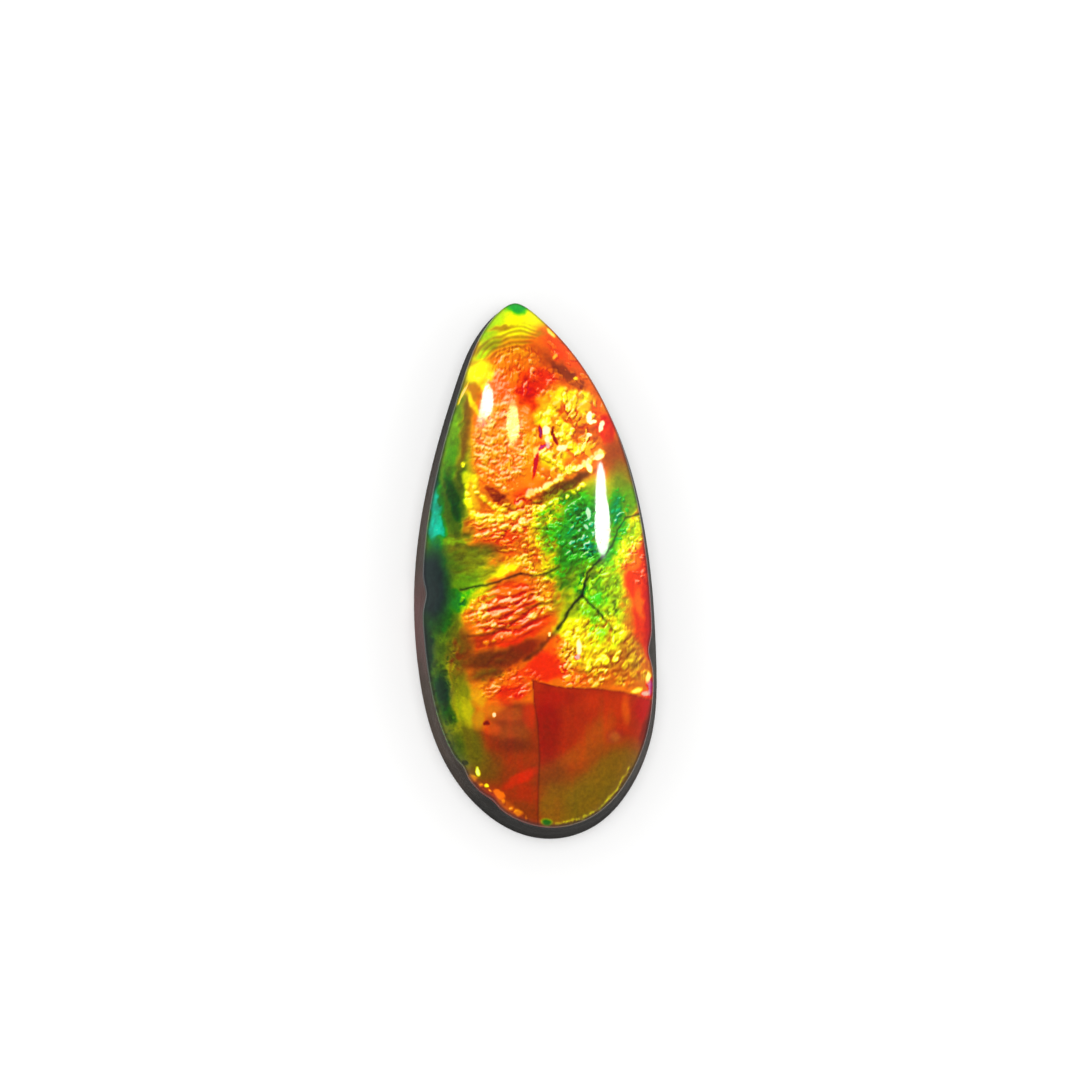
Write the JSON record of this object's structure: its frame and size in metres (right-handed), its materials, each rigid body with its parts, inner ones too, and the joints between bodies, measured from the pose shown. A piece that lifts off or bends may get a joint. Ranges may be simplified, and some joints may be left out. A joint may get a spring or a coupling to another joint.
{
  "type": "ammolite specimen",
  "caption": "Polished freeform teardrop of iridescent fossil shell on its dark shale, domed in front and ground flat behind.",
  "frame": {"origin": "centre of the bounding box at the flat ground back", "axes": "+Y towards the pointed end, +X across the stone, +Z out of the polished dome"},
  "size_m": [0.0142, 0.0316, 0.0042],
  "materials": {
    "shale": "satin",
    "ammolite": "polished"
  },
  "bodies": {
    "root": {"shale_backing": "shale", "ammolite_layer": "ammolite"}
  },
  "joints": []
}
